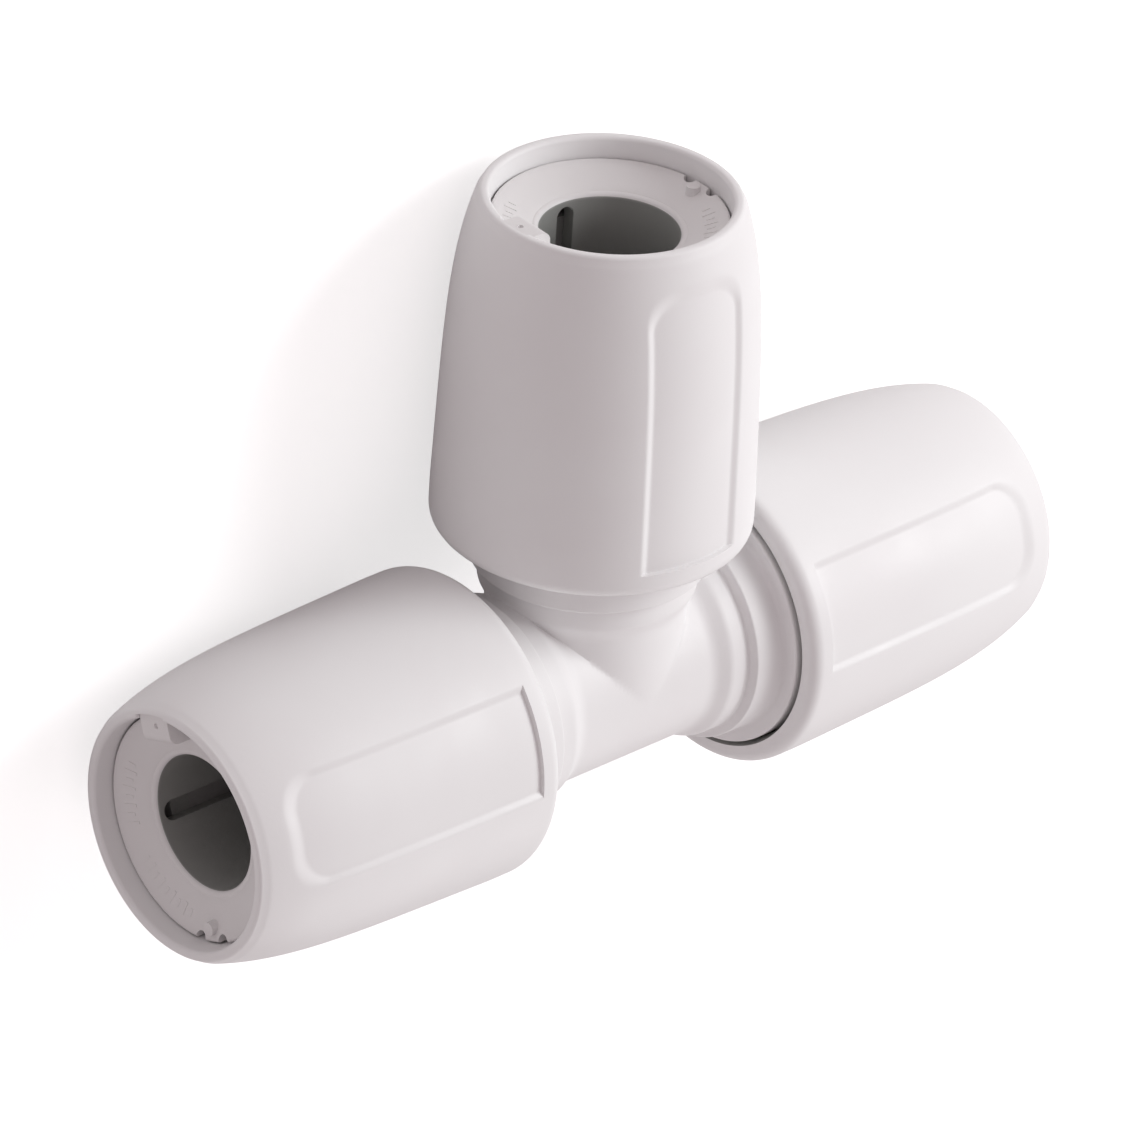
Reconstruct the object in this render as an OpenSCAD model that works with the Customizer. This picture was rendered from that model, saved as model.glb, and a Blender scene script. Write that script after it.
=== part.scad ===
// Equal tee for 15 mm pipe: one moulded body with three push-fit sockets.
// Each socket holds, from the inside out, a sealing ring, a backing washer, a toothed grab ring,
// a spacer washer, a guide bush and a release collet, all closed by a snapped-on cap.
// The tee lies on its three caps: the run is along X, the branch points along +Y.

/* [Pipe] */
// Outside diameter of the pipe that the sockets take
pipe_d = 15; // [14.6:0.1:15.4]
// Diameter of the water channel where the three arms meet
waterway_d = 13; // [10:0.5:13.5]

/* [Arms] */
// Distance from the crossing of the axes to each mouth
arm_len = 59.2; // [57:0.1:66]
// Outside diameter of the plain tubes at the crossing
tube_d = 22.4; // [20:0.2:23]
// Distance from the crossing to the foot of the collar
collar_start = 9.8; // [9:0.1:10.2]
// Length of the sloped foot of the collar
collar_rise = 1.9; // [1:0.1:2.2]
// Diameter of the collar
collar_d = 24.4; // [23.6:0.1:25]
// Distance from the crossing to the foot of the band that backs the collar
band_start = 14.1; // [13.6:0.1:15]
// Length of the sloped foot of the band
band_rise = 0.4; // [0.3:0.1:0.8]
// Diameter of the band
band_d = 26.6; // [26:0.1:27.4]
// Distance from the crossing to the flat shoulder
shoulder_at = 18.5; // [17.5:0.1:18.6]
// Radius between the band and the shoulder
shoulder_fillet = 0.6; // [0.3:0.1:0.8]

/* [Socket] */
// Wall of the socket outside its wide chamber
socket_wall = 3; // [2.4:0.1:3.4]
// Depth of the narrow seat that guides the end of the pipe
seat_len = 9; // [6:0.5:10]
// Thickness of the sealing ring's cord
seal_t = 3.2; // [2.8:0.1:3.4]
// Squeeze of the sealing ring on the pipe
seal_squeeze = 0.2; // [0.1:0.05:0.4]
// Thickness of the backing washer
backing_t = 2.6; // [2.4:0.1:4]
// Thickness of the spacer washer
spacer_t = 1.5; // [1:0.1:2.5]

/* [Grab ring] */
// Thickness of the steel
grab_t = 0.5; // [0.3:0.1:0.7]
// Number of teeth
tooth_count = 14; // [8:1:16]
// Width of the slots between the teeth
tooth_slot = 1.6; // [0.8:0.1:2]
// Angle that the teeth lean into the socket
tooth_lean = 28; // [15:1:30]

/* [Release collet] */
// Room between the pipe and the collet
bore_gap = 0.2; // [0.1:0.05:0.4]
// Wall of the collet's sleeve
sleeve_wall = 1.6; // [1.2:0.1:1.8]
// Height of the barb that keeps the collet in the guide bush
barb_h = 1.1; // [0.8:0.1:1.3]
// Length of the barb
barb_len = 2; // [1.4:0.1:3]
// Length of the sleeve below the barb
nose_len = 2.3; // [2:0.1:2.6]
// How far the collet is pushed in to free the pipe
release_travel = 1.5; // [1:0.1:2]
// Depth of the end ring's outer edge below the mouth
head_recess = 2.5; // [1.5:0.1:3]
// How much the end ring's face falls towards its bore
head_dish = 1.6; // [0.8:0.1:2]
// Thickness of the end ring at its bore
head_t = 1.5; // [1.2:0.1:2.5]
// Width of the two slots that let the sleeve spring
slot_w = 2.3; // [1.5:0.1:3]
// Radius of the end ring's bore edge
bore_round = 0.6; // [0.3:0.1:0.8]
// Distance from the bore edge to the rounded ends of the slots
slot_drop = 1; // [0.8:0.1:2]
// Width of the locating tab
tab_w = 4.6; // [3:0.1:5]
// Length of the tab on the end ring's face
tab_in = 2.8; // [2:0.1:4]
// How far the tab stands out past the end ring
tab_reach = 0.7; // [0.4:0.05:0.8]
// Depth of the tab's top below the mouth
tab_drop = 0.5; // [0.3:0.1:1]
// Width of the pocket beside the tab
pocket_w = 2.4; // [1.5:0.1:3]
// Thickness left under the pocket
pocket_floor = 0.8; // [0.6:0.1:1.2]
// Width of the two notches opposite the tab
notch_w = 1.6; // [1:0.1:2]
// Distance between the middles of the notches
notch_pitch = 3.8; // [3:0.1:5]

/* [Guide bush] */
// Wall of the bush round its barb pocket
bush_wall = 1.5; // [1.2:0.1:1.8]
// Length of the bush's neck, from the cap's web to the ledge that stops the barb
neck_len = 7.6; // [5:0.1:9]
// Thickness of the bush's flange
flange_t = 3; // [2:0.1:4]
// Overhang of the bush's flange on the socket's end
flange_reach = 2.7; // [1.5:0.1:2.8]

/* [Cap] */
// Length of the cap's straight stretch at its rear edge
cap_straight = 4.1; // [3:0.1:6]
// Wall of the cap at its widest place
cap_wall = 2.55; // [2.3:0.05:3]
// Straight taper of the cap's side from end to end
cap_draft = 1; // [0.6:0.1:1.2]
// Extra fall of the cap's side where it curves in to the mouth
cap_sweep = 2.4; // [1.8:0.1:2.6]
// Length of the rounded rear edge
rear_round = 1.5; // [0.8:0.1:2]
// Width of the rounded rear edge
rear_w = 1.3; // [0.8:0.1:1.6]
// Chamfer that leads the cap on to the socket
lead_in = 0.5; // [0.3:0.1:0.8]
// Width of the lip round the mouth
lip_w = 1.3; // [1:0.05:1.6]
// Radius of the lip's two edges
lip_round = 0.5; // [0.3:0.05:0.6]
// Thickness of the web that closes in the guide bush
web_t = 2.5; // [2:0.1:3]
// Depth of the two recessed panels
panel_depth = 0.5; // [0.2:0.05:0.6]
// Width of the panels
panel_w = 12.2; // [8:0.1:14]
// Distance from the mouth to the panels' rounded ends
panel_start = 4.6; // [4:0.1:12]
// Radius of the corners of the panels' outer ends
panel_corner = 4; // [2:0.1:5]
// Distance from the cap's rear edge to the step that ends the panels
panel_step = 2.8; // [2.4:0.1:4]
// Distance from the cap's rear edge to the pockets that the body's lugs snap into
snap_rise = 2.6; // [2.2:0.1:3]
// Length of the snap pockets
snap_len = 2.6; // [2:0.1:3.2]
// Angle that each snap pocket spans
snap_span = 38; // [20:1:50]
// Height of the body's snap lugs
lug_h = 0.8; // [0.5:0.05:1]
// Angle of the run caps' panels from the upward direction, towards the branch
run_turn = 20; // [0:1:90]
// Angle of the branch cap's panels from the upward direction, towards the left mouth
branch_turn = 4; // [0:1:90]

/* [Clearances] */
// Radial room of a piece that is only dropped in
fit_gap = 0.1; // [0.05:0.01:0.15]
// Radial room of the collet where it slides
slide_gap = 0.15; // [0.1:0.01:0.25]
// Radial room of the end ring in the mouth
head_gap = 0.2; // [0.1:0.01:0.3]
// Radial room between cap and socket
cap_gap = 0.2; // [0.1:0.01:0.3]
// Room left past the collet's travel
stop_gap = 0.2; // [0.1:0.05:0.4]
// Gap between the body's shoulder and the cap's rear edge
shoulder_gap = 0.4; // [0.2:0.1:1]

/* [Hidden] */
$fn = 96;

// Cuts run this far past the faces that they open
past = 1;
// Small bevels on hidden edges
bevel = 0.3;
// The branch's tube and channel are slimmer than the run's by this step, so that they meet cleanly
mitre_step = 0.05;

// Radii, from the pipe outwards
pipe_r = pipe_d / 2;
bore_r = pipe_r + bore_gap;
sleeve_r = bore_r + sleeve_wall;
barb_r = sleeve_r + barb_h;
neck_r = sleeve_r + slide_gap;
pocket_r = barb_r + slide_gap;
bush_r = pocket_r + bush_wall;
chamber_r = bush_r + fit_gap;
socket_r = chamber_r + socket_wall;
flange_r = bush_r + flange_reach;
cap_bore_r = socket_r + cap_gap;
cap_r = cap_bore_r + cap_wall;
mouth_r = cap_r - cap_draft - cap_sweep;
lip_r = mouth_r - lip_w;
head_r = lip_r - head_gap;
tab_r = head_r + tab_reach;
seal_r = pipe_r - seal_squeeze + seal_t / 2;
seal_groove_r = seal_r + seal_t / 2 + fit_gap;
seat_r = pipe_r + fit_gap;
waterway_r = waterway_d / 2;
tube_r = tube_d / 2;
collar_r = collar_d / 2;
band_r = band_d / 2;

// Levels along an arm, from the mouth inwards
head_edge_z = arm_len - head_recess;
head_bore_z = head_edge_z - head_dish;
head_under_z = head_bore_z - head_t;
web_top_z = head_under_z - release_travel - stop_gap;
web_under_z = web_top_z - web_t;
socket_end_z = web_under_z - flange_t;
ledge_z = web_under_z - neck_len;
barb_top_z = ledge_z - fit_gap;
barb_under_z = barb_top_z - barb_len;
nose_z = barb_under_z - nose_len;
bush_end_z = barb_under_z - release_travel - 2 * stop_gap;
spacer_under_z = bush_end_z - spacer_t;
grab_under_z = spacer_under_z - grab_t;
backing_under_z = grab_under_z - backing_t;
seal_len = seal_t + 2 * fit_gap;
seat_end_z = backing_under_z - seal_len;
pipe_stop_z = seat_end_z - seat_len;

// Levels at the cap's rear
cap_rear_z = shoulder_at + shoulder_gap;
side_len = arm_len - cap_rear_z - cap_straight;
rear_round_z = cap_rear_z + rear_round;
panel_end_z = cap_rear_z + panel_step;
snap_z = cap_rear_z + snap_rise;
lug_len = snap_len - 2 * fit_gap;

// The origin is under the middle of the tee, on the surface that it lies on
middle_y = (arm_len - cap_r) / 2;

// Outside radius of the cap at a distance t from its mouth, up to the rounded rear edge
function cap_side(t) =
    let (u = max(0, 1 - t / side_len))
    cap_r - cap_draft * u - cap_sweep * pow(u, 5);

// Points of a quarter ellipse about (cr, cz), from the angle a0 to the angle a1
function ellipse_arc(cr, cz, rr, rz, a0, a1, steps) =
    [for (i = [0 : steps]) let (a = a0 + (a1 - a0) * i / steps) [cr + rr * cos(a), cz + rz * sin(a)]];

// Stands a child, drawn with its axis on Z, on each arm: the mouth outwards, the panel upwards
module on_left() {
    seat_tee() rotate([0, -90, 0]) rotate([0, 0, run_turn]) children();
}
module on_right() {
    seat_tee() rotate([0, 90, 0]) rotate([0, 0, -run_turn]) children();
}
module on_branch() {
    seat_tee() rotate([-90, 0, 0]) rotate([0, 0, 90 - branch_turn]) children();
}
module seat_tee() {
    translate([0, -middle_y, cap_r]) children();
}

// Side of one arm of the body from its plain tube outwards: collar, band, flat shoulder and socket.
// The step sets the branch's collar off from the run's, so that no two edges fall together.
function arm_side(step) =
    let (foot = collar_start + step, band_foot = band_start + step)
    concat(
        [
            [tube_r - step, foot], [collar_r - step, foot + collar_rise], [collar_r - step, band_foot],
            [band_r, band_foot + band_rise]
        ],
        ellipse_arc(
            band_r + shoulder_fillet, shoulder_at - shoulder_fillet, shoulder_fillet, shoulder_fillet, 180, 90, 4
        ),
        [
            [socket_r - bevel, shoulder_at], [socket_r, shoulder_at + bevel],
            [socket_r, socket_end_z - bevel], [socket_r - bevel, socket_end_z]
        ]
    );

// Side of the hollow of one arm: water channel, pipe seat, seal groove and chamber
function hollow_side(step) = [
    [waterway_r - step, pipe_stop_z], [seat_r, pipe_stop_z], [seat_r, seat_end_z], [seal_groove_r, seat_end_z],
    [seal_groove_r, backing_under_z], [chamber_r, backing_under_z], [chamber_r, socket_end_z - bevel],
    [chamber_r + bevel, socket_end_z], [chamber_r + bevel, socket_end_z + past]
];

// A round solid from the crossing outwards, with the given side
module branch_solid(side) {
    far = side[len(side) - 1][1];
    rotate_extrude() polygon(concat([[0, 0], [side[0][0], 0]], side, [[0, far]]));
}

// The same in both directions, for the run
module run_solid(side) {
    last = len(side) - 1;
    far = side[last][1];
    rotate_extrude() polygon(concat(
        [[0, -far]], [for (i = [last : -1 : 0]) [side[i][0], -side[i][1]]], side, [[0, far]]
    ));
}

// Snap lugs on the socket, which hold the cap
module snap_lugs() {
    lug_r = socket_r + lug_h;
    z0 = snap_z + fit_gap;
    for (side = [0, 180])
        rotate([0, 0, side - snap_span / 2 + 1])
            rotate_extrude(angle = snap_span - 2)
                polygon([
                    [socket_r - bevel, z0], [lug_r, z0], [lug_r, z0 + lug_len / 2],
                    [socket_r - bevel, z0 + lug_len]
                ]);
}

module body() {
    color("#efecec") difference() {
        union() {
            on_left() run_solid(arm_side(0));
            on_branch() branch_solid(arm_side(mitre_step));
            on_left() snap_lugs();
            on_right() snap_lugs();
            on_branch() snap_lugs();
        }
        on_left() run_solid(hollow_side(0));
        on_branch() branch_solid(hollow_side(mitre_step));
    }
}

// Outline of the cap's outside from the mouth to the rear edge, drawn in by a depth
module cap_outline(depth) {
    steps = 18;
    polygon(concat(
        [[0, arm_len - depth]],
        ellipse_arc(mouth_r - lip_round - depth, arm_len - lip_round - depth, lip_round, lip_round, 90, 10, 3),
        [for (i = [1 : steps]) let (t = side_len * i / steps) [cap_side(t) - depth, arm_len - t]],
        ellipse_arc(cap_r - rear_w - depth, rear_round_z, rear_w, rear_round - depth, 0, -90, 6),
        [[0, cap_rear_z + depth]]
    ));
}

// Outline of the cap's hollow, with the rounded inner edge of its lip
module cap_hollow_outline() {
    polygon(concat(
        [
            [0, cap_rear_z - past], [cap_bore_r + lead_in, cap_rear_z - past],
            [cap_bore_r + lead_in, cap_rear_z], [cap_bore_r, cap_rear_z + lead_in],
            [cap_bore_r, socket_end_z + fit_gap],
            [flange_r + fit_gap, socket_end_z + fit_gap], [flange_r + fit_gap, web_under_z],
            [neck_r, web_under_z], [neck_r, web_top_z], [lip_r, web_top_z]
        ],
        [for (a = [0 : 30 : 90]) [lip_r + lip_round * (1 - cos(a)), arm_len - lip_round + lip_round * sin(a)]],
        [[lip_r + lip_round, arm_len + past], [0, arm_len + past]]
    ));
}

// One recessed panel, as a block with rounded outer corners that reaches out past the cap
module panel_block() {
    corner_x = panel_w / 2 - panel_corner;
    corner_z = arm_len - panel_start - panel_corner;
    rotate([90, 0, 90]) linear_extrude(cap_r + past) polygon(concat(
        [[-panel_w / 2, panel_end_z], [panel_w / 2, panel_end_z]],
        ellipse_arc(corner_x, corner_z, panel_corner, panel_corner, 0, 90, 6),
        ellipse_arc(-corner_x, corner_z, panel_corner, panel_corner, 90, 180, 6)
    ));
}

// Pocket inside the cap for one of the body's lugs
module snap_pocket() {
    pocket_top_r = socket_r + lug_h + fit_gap;
    rotate([0, 0, -snap_span / 2]) rotate_extrude(angle = snap_span) polygon([
        [cap_bore_r - bevel, snap_z], [pocket_top_r, snap_z], [pocket_top_r, snap_z + snap_len],
        [cap_bore_r - bevel, snap_z + snap_len]
    ]);
}

module cap() {
    color("#f1eeee") difference() {
        union() {
            difference() {
                rotate_extrude() cap_outline(0);
                for (side = [0, 180]) rotate([0, 0, side]) panel_block();
            }
            rotate_extrude() cap_outline(panel_depth);
        }
        rotate_extrude() cap_hollow_outline();
        for (side = [0, 180]) rotate([0, 0, side]) snap_pocket();
        tab_block(tab_w + 2 * slide_gap, 0, tab_r + slide_gap, web_top_z, arm_len + past);
    }
}

// A block on the side of the tab, from an inner distance to an outer radius
module tab_block(width, inner, radius, z0, z1) {
    intersection() {
        translate([-width / 2, inner, z0]) cube([width, radius - inner + past, z1 - z0]);
        translate([0, 0, z0]) cylinder(r = radius, h = z1 - z0);
    }
}

// Outline of the end ring, sleeve and barb
module collet_outline() {
    polygon(concat(
        [
            [bore_r + bevel, nose_z], [sleeve_r - bevel, nose_z], [sleeve_r, nose_z + bevel],
            [sleeve_r, barb_under_z], [barb_r - bevel, barb_under_z], [barb_r, barb_under_z + bevel],
            [barb_r, barb_top_z], [sleeve_r, barb_top_z], [sleeve_r, head_under_z],
            [head_r, head_under_z], [head_r, head_edge_z - bevel], [head_r - bevel, head_edge_z]
        ],
        [
            for (a = [90 : 30 : 180])
                [bore_r + bore_round * (1 + cos(a)), head_bore_z - bore_round * (1 - sin(a))]
        ],
        [[bore_r, nose_z + bevel]]
    ));
}

module release_collet() {
    color("#e9e5e5") difference() {
        union() {
            rotate_extrude() collet_outline();
            tab_block(tab_w, head_r - tab_in, tab_r, head_under_z, arm_len - tab_drop);
            ring_bump();
        }
        // A pocket beside the tab
        translate([tab_w / 2, head_r - tab_in, head_under_z + pocket_floor])
            cube([pocket_w, tab_in + past, head_t + head_dish]);
        // A pair of notches opposite the tab
        for (side = [-1, 1])
            translate([side * notch_pitch / 2, bevel - head_r, head_bore_z])
                cylinder(d = notch_w, h = head_dish + past, $fn = 24);
        // Two slots in line with the panels, open at the sleeve's end
        for (side = [0, 180])
            rotate([0, 0, side]) spring_slot();
    }
}

// The low bump between the notches
module ring_bump() {
    bump_w = notch_pitch - notch_w - 2 * bevel;
    translate([0, notch_w - head_r, head_bore_z])
        cylinder(d1 = bump_w + bevel, d2 = bump_w, h = head_dish + bevel, $fn = 24);
}

module spring_slot() {
    round_z = head_bore_z - slot_drop - slot_w / 2;
    reach = barb_r + past;
    translate([0, -slot_w / 2, nose_z - past]) cube([reach, slot_w, round_z - nose_z + past]);
    translate([0, 0, round_z]) rotate([0, 90, 0]) cylinder(d = slot_w, h = reach);
}

module guide_bush() {
    color("#dcdadb") rotate_extrude() polygon([
        [pocket_r, bush_end_z], [bush_r - bevel, bush_end_z], [bush_r, bush_end_z + bevel],
        [bush_r, socket_end_z], [flange_r, socket_end_z], [flange_r, web_under_z],
        [neck_r, web_under_z], [neck_r, ledge_z], [pocket_r, ledge_z]
    ]);
}

module spacer_washer() {
    color("#dcdadb") rotate_extrude()
        translate([neck_r + fit_gap, spacer_under_z]) square([bush_r - neck_r - fit_gap, spacer_t]);
}

// Steel ring with a flat rim and a coned inside, slotted into teeth that lean inwards on to the pipe
module grab_ring() {
    root_r = seal_groove_r;
    drop = (root_r - pipe_r) * tan(tooth_lean);
    color("#b9bdc2") difference() {
        rotate_extrude() polygon([
            [pipe_r, grab_under_z - drop], [root_r, grab_under_z], [bush_r, grab_under_z],
            [bush_r, grab_under_z + grab_t], [root_r, grab_under_z + grab_t],
            [pipe_r, grab_under_z - drop + grab_t]
        ]);
        for (i = [0 : tooth_count - 1])
            rotate([0, 0, 360 * i / tooth_count])
                translate([pipe_r - past, -tooth_slot / 2, grab_under_z - drop - past])
                    cube([root_r - pipe_r + past + bevel, tooth_slot, drop + grab_t + 2 * past]);
    }
}

// Washer with a funnel that leaves room for the teeth
module backing_washer() {
    color("#dcdadb") rotate_extrude() polygon([
        [seat_r + 2 * bevel, backing_under_z], [bush_r, backing_under_z],
        [bush_r, grab_under_z], [seal_groove_r + fit_gap, grab_under_z]
    ]);
}

module seal_ring() {
    color("#26282a") translate([0, 0, seat_end_z + seal_len / 2])
        rotate_extrude() translate([seal_r, 0]) circle(d = seal_t);
}

body();
on_left() cap();  // left_cap
on_right() cap();  // right_cap
on_branch() cap();  // branch_cap
on_left() release_collet();  // left_release_collet
on_right() release_collet();  // right_release_collet
on_branch() release_collet();  // branch_release_collet
on_left() guide_bush();  // left_guide_bush
on_right() guide_bush();  // right_guide_bush
on_branch() guide_bush();  // branch_guide_bush
on_left() spacer_washer();  // left_spacer_washer
on_right() spacer_washer();  // right_spacer_washer
on_branch() spacer_washer();  // branch_spacer_washer
on_left() grab_ring();  // left_grab_ring
on_right() grab_ring();  // right_grab_ring
on_branch() grab_ring();  // branch_grab_ring
on_left() backing_washer();  // left_backing_washer
on_right() backing_washer();  // right_backing_washer
on_branch() backing_washer();  // branch_backing_washer
on_left() seal_ring();  // left_seal_ring
on_right() seal_ring();  // right_seal_ring
on_branch() seal_ring();  // branch_seal_ring
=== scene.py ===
"""Equal tee, push-fit, for 15 mm pipe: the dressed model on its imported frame.

The moulded body, the three caps and the three release collets are drawn again here with finer curves and
edges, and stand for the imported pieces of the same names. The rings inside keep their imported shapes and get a
finish. Sizes are in millimetres, measured from the crossing of the arms' axes, and are turned into metres
once, when a piece is set on its arm.
"""

from __future__ import annotations

import logging
import math
from collections.abc import Callable
from dataclasses import dataclass, field
from enum import Enum

import bmesh
import bpy
from mathutils import Matrix, Vector

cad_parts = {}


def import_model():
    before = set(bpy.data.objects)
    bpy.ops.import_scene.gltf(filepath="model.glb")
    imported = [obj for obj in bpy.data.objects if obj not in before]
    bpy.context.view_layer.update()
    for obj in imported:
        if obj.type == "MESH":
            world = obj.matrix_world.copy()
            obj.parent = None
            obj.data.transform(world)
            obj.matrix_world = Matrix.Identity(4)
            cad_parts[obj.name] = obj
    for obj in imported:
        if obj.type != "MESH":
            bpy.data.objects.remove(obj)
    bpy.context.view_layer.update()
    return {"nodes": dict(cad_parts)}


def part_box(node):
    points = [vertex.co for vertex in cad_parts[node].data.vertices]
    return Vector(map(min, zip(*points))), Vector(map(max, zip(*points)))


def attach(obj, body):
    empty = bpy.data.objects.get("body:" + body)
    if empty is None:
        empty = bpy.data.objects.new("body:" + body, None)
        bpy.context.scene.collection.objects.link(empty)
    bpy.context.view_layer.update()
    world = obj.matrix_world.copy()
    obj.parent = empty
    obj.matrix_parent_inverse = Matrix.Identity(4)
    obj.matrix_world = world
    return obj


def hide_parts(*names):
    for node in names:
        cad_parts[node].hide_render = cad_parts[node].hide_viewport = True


LOG = logging.getLogger("equal_tee")

MM = 0.001
BEND_STEPS = 6

# Radius and distance from the crossing, both in millimetres
Point = tuple[float, float]
Rgb = tuple[float, float, float]
# What goes into a node's input: a value, or the socket that it is linked from
Feed = float | tuple[float, ...] | bpy.types.NodeSocket
Outputs = bpy.types.bpy_prop_collection


class Join(Enum):
    """How a shaping piece meets the blank that it works on."""

    CUT = "DIFFERENCE"
    WELD = "UNION"


class Mouth(Enum):
    """The three arms, with the body that each arm's collet rides on."""

    LEFT = "left"
    RIGHT = "right"
    BRANCH = "branch"

    def collet_body(self) -> str:
        """Returns the name of the body that this arm's collet moves with."""
        return f"{self.value}_collet"


@dataclass(frozen=True)
class TeeSizes:
    """Sizes that more than one piece shares, in millimetres."""

    arm_len: float = 59.2
    tube_r: float = 11.2
    waterway_r: float = 6.5
    collar_start: float = 9.8
    collar_rise: float = 1.9
    collar_r: float = 12.2
    band_start: float = 14.1
    band_rise: float = 0.4
    band_r: float = 13.3
    shoulder_at: float = 18.5
    shoulder_fillet: float = 0.6
    socket_r: float = 15.15
    chamber_r: float = 12.15
    seal_groove_r: float = 10.6
    seat_r: float = 7.6
    neck_r: float = 9.45
    flange_hole_r: float = 14.85
    cap_bore_r: float = 15.35
    cap_wall: float = 2.55
    cap_draft: float = 1.0
    cap_sweep: float = 2.4
    cap_len: float = 40.3
    side_len: float = 36.2
    rear_round: float = 1.5
    rear_w: float = 1.3
    lead_in_w: float = 0.4
    lead_in_len: float = 1.2
    lip_w: float = 1.3
    lip_round: float = 0.5
    head_under: float = 53.6
    web_top: float = 51.9
    web_under: float = 49.4
    socket_end: float = 46.4
    backing_under: float = 33.2
    seat_end: float = 29.8
    pipe_stop: float = 20.8
    panel_end: float = 21.7
    snap_z: float = 21.5
    snap_half_span: float = 19.0
    snap_len: float = 2.6
    lug_h: float = 0.8
    tab_w: float = 4.6
    tab_r: float = 13.7
    tab_gap: float = 0.06
    bevel: float = 0.3

    @property
    def cap_r(self) -> float:
        """Returns the cap's radius at its widest place."""
        return self.cap_bore_r + self.cap_wall

    @property
    def mouth_r(self) -> float:
        """Returns the cap's outer radius at its mouth."""
        return self.cap_r - self.cap_draft - self.cap_sweep

    @property
    def lip_r(self) -> float:
        """Returns the radius of the opening inside the cap's lip."""
        return self.mouth_r - self.lip_w


@dataclass(frozen=True)
class Arm:
    """One arm of the tee, as a place to stand pieces on.

    Its own axes are the panel's direction, the tab's direction and the way out through the mouth.
    """

    mouth: Mouth
    crossing: Vector
    outward: Vector
    panel: Vector

    def turn(self) -> Matrix:
        """Returns the turn from the arm's own axes to the tee's."""
        tab = self.outward.cross(self.panel)
        return Matrix((self.panel, tab, self.outward)).transposed().to_4x4()

    def seat(self) -> Matrix:
        """Returns the move from the arm's own millimetres to the tee's metres."""
        return Matrix.Translation(self.crossing) @ self.turn() @ Matrix.Scale(MM, 4)


def arc(centre: Point, radii: Point, start: float, end: float, steps: int) -> list[Point]:
    """Draws part of an ellipse.

    Args:
        centre: Middle of the ellipse.
        radii: Half its width and half its height.
        start: First angle in degrees, from the outward radius towards the mouth.
        end: Last angle in degrees.
        steps: Number of segments.

    Returns:
        The points from the first angle to the last.
    """
    angles = [math.radians(start + (end - start) * i / steps) for i in range(steps + 1)]
    return [(centre[0] + radii[0] * math.cos(a), centre[1] + radii[1] * math.sin(a)) for a in angles]


def between(first: Point, last: Point, step: float) -> list[Point]:
    """Divides a straight stretch.

    Args:
        first: Where the stretch starts.
        last: Where it ends.
        step: Longest distance between two points.

    Returns:
        The points after the first one, up to and with the last.
    """
    length = math.dist(first, last)
    count = max(1, math.ceil(length / step))
    return [
        (first[0] + (last[0] - first[0]) * i / count, first[1] + (last[1] - first[1]) * i / count)
        for i in range(1, count + 1)
    ]


def eased(corners: list[tuple[float, float, float]], step: float) -> list[Point]:
    """Draws a line through corners that are each rounded over a reach of their own.

    Args:
        corners: Radius, distance and reach of each corner. The first and the last stay sharp.
        step: Longest distance between two points on the straight stretches.

    Returns:
        The points of the line.
    """
    line = [corners[0][:2]]
    for before, corner, after in zip(corners, corners[1:], corners[2:]):
        tip, reach = Vector(corner[:2]), corner[2]
        enter = tip + (Vector(before[:2]) - tip).normalized() * reach
        leave = tip + (Vector(after[:2]) - tip).normalized() * reach
        line += between(line[-1], (enter.x, enter.y), step)
        for i in range(1, BEND_STEPS + 1 if reach else 1):
            t = i / BEND_STEPS
            bend = enter * (1 - t) ** 2 + tip * 2 * t * (1 - t) + leave * t**2
            line.append((bend.x, bend.y))
    return line + between(line[-1], corners[-1][:2], step)


def smooth_step(value: float) -> float:
    """Returns value eased from 0 to 1, and held at both ends."""
    v = min(1.0, max(0.0, value))
    return v * v * (3 - 2 * v)


class Lathe:
    """Turns outlines about the arm's axis."""

    @staticmethod
    def even(count: int) -> list[float]:
        """Returns evenly spaced angles in degrees round a full turn."""
        return [360 * i / count for i in range(count)]

    @staticmethod
    def turn(
        outline: list[Point],
        angles: list[float],
        closed: bool = True,
        sink: Callable[[float, float, float], float] | None = None,
    ) -> bmesh.types.BMesh:
        """Turns an outline a full turn into a mesh of four-sided faces.

        Args:
            outline: Points of the outline, with the solid on their left.
            angles: Where a column of points stands, in rising degrees.
            closed: Whether the last point joins the first.
            sink: How far a point at an angle, radius and distance sinks towards the axis.

        Returns:
            The mesh in the arm's own millimetres.
        """
        bm = bmesh.new()
        rings = []
        for angle in angles:
            a = math.radians(angle)
            column = []
            for r, z in outline:
                reach = r - (sink(a, r, z) if sink else 0.0)
                column.append(bm.verts.new((reach * math.cos(a), reach * math.sin(a), z)))
            rings.append(column)
        rows = len(outline) if closed else len(outline) - 1
        for i, column in enumerate(rings):
            beside = rings[(i + 1) % len(rings)]
            for j in range(rows):
                k = (j + 1) % len(outline)
                bm.faces.new((column[j], beside[j], beside[k], column[k]))
        bmesh.ops.recalc_face_normals(bm, faces=bm.faces)
        return bm

    @staticmethod
    def sector(outline: list[Point], start: float, end: float, steps: int) -> bmesh.types.BMesh:
        """Turns a closed outline through part of a turn, and closes both ends.

        Args:
            outline: Points of the closed outline.
            start: First angle in degrees.
            end: Last angle in degrees.
            steps: Number of segments.

        Returns:
            The mesh in the arm's own millimetres.
        """
        sections = []
        for i in range(steps + 1):
            a = math.radians(start + (end - start) * i / steps)
            sections.append([Vector((r * math.cos(a), r * math.sin(a), z)) for r, z in outline])
        return Loft.solid(sections)


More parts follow.
